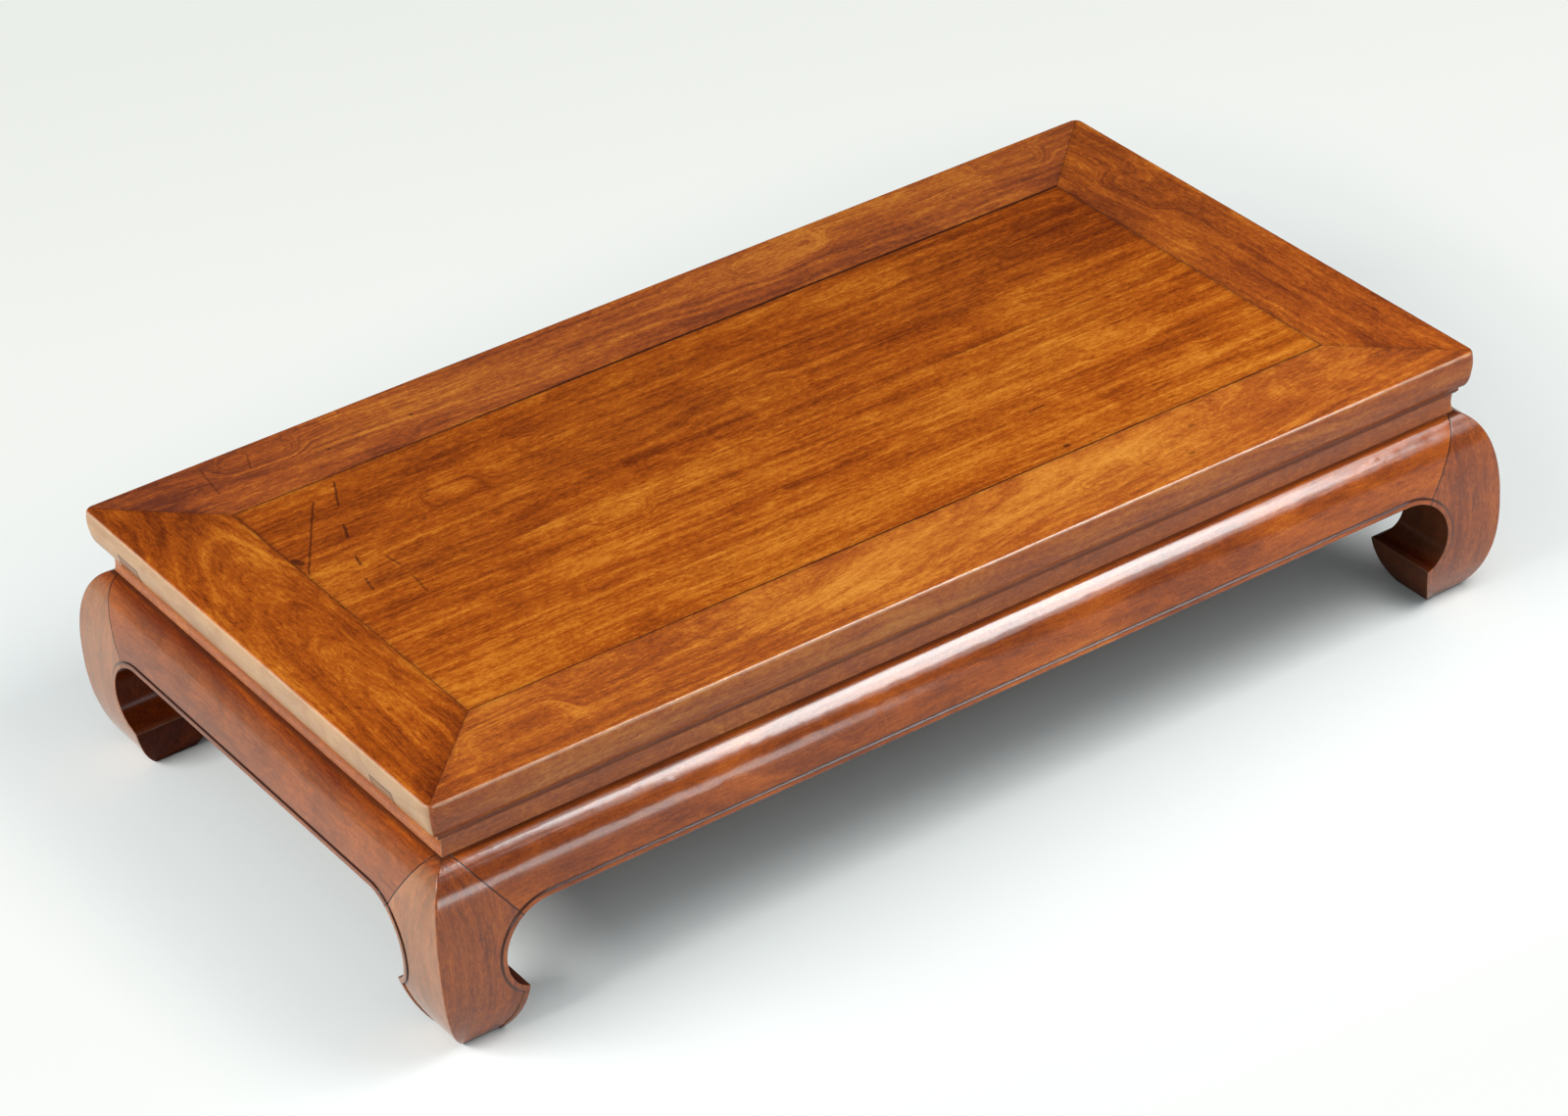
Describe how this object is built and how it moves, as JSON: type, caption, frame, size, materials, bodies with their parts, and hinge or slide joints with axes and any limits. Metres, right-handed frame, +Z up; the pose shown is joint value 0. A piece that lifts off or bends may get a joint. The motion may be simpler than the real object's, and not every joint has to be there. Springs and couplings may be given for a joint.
{
  "type": "kang table",
  "caption": "Low waisted kang table with a mitred frame top and floating panel, bulging beaded aprons and legs ending in inward-turned horse hoofs.",
  "frame": {"origin": "on the floor under the centre of the table top", "axes": "+X along the length of the top, +Y towards the back long side, +Z up"},
  "size_m": [0.9062, 0.5012, 0.2],
  "materials": {
    "frame_wood": "old waxed hardwood, satin",
    "panel_wood": "old waxed hardwood, satin, strong straight grain",
    "waist_wood": "old waxed hardwood, satin",
    "apron_wood": "old waxed hardwood, satin",
    "leg_wood": "old waxed hardwood, satin",
    "hidden_wood": "bare planed wood, dull"
  },
  "bodies": {
    "root": {"apron_back": "apron_wood", "apron_front": "apron_wood", "apron_key_back_left": "hidden_wood", "apron_key_back_right": "hidden_wood", "apron_key_front_left": "hidden_wood", "apron_key_front_right": "hidden_wood", "apron_key_left": "hidden_wood", "apron_key_right": "hidden_wood", "apron_left": "apron_wood", "apron_right": "apron_wood", "batten_left": "hidden_wood", "batten_middle": "hidden_wood", "batten_right": "hidden_wood", "leg_back_left": "leg_wood", "leg_back_right": "leg_wood", "leg_front_left": "leg_wood", "leg_front_right": "leg_wood", "panel_board_back": "panel_wood", "panel_board_front": "panel_wood", "top_rail_back": "frame_wood", "top_rail_front": "frame_wood", "top_rail_left": "frame_wood", "top_rail_right": "frame_wood", "waist_back": "waist_wood", "waist_front": "waist_wood", "waist_left": "waist_wood", "waist_right": "waist_wood"}
  },
  "joints": []
}
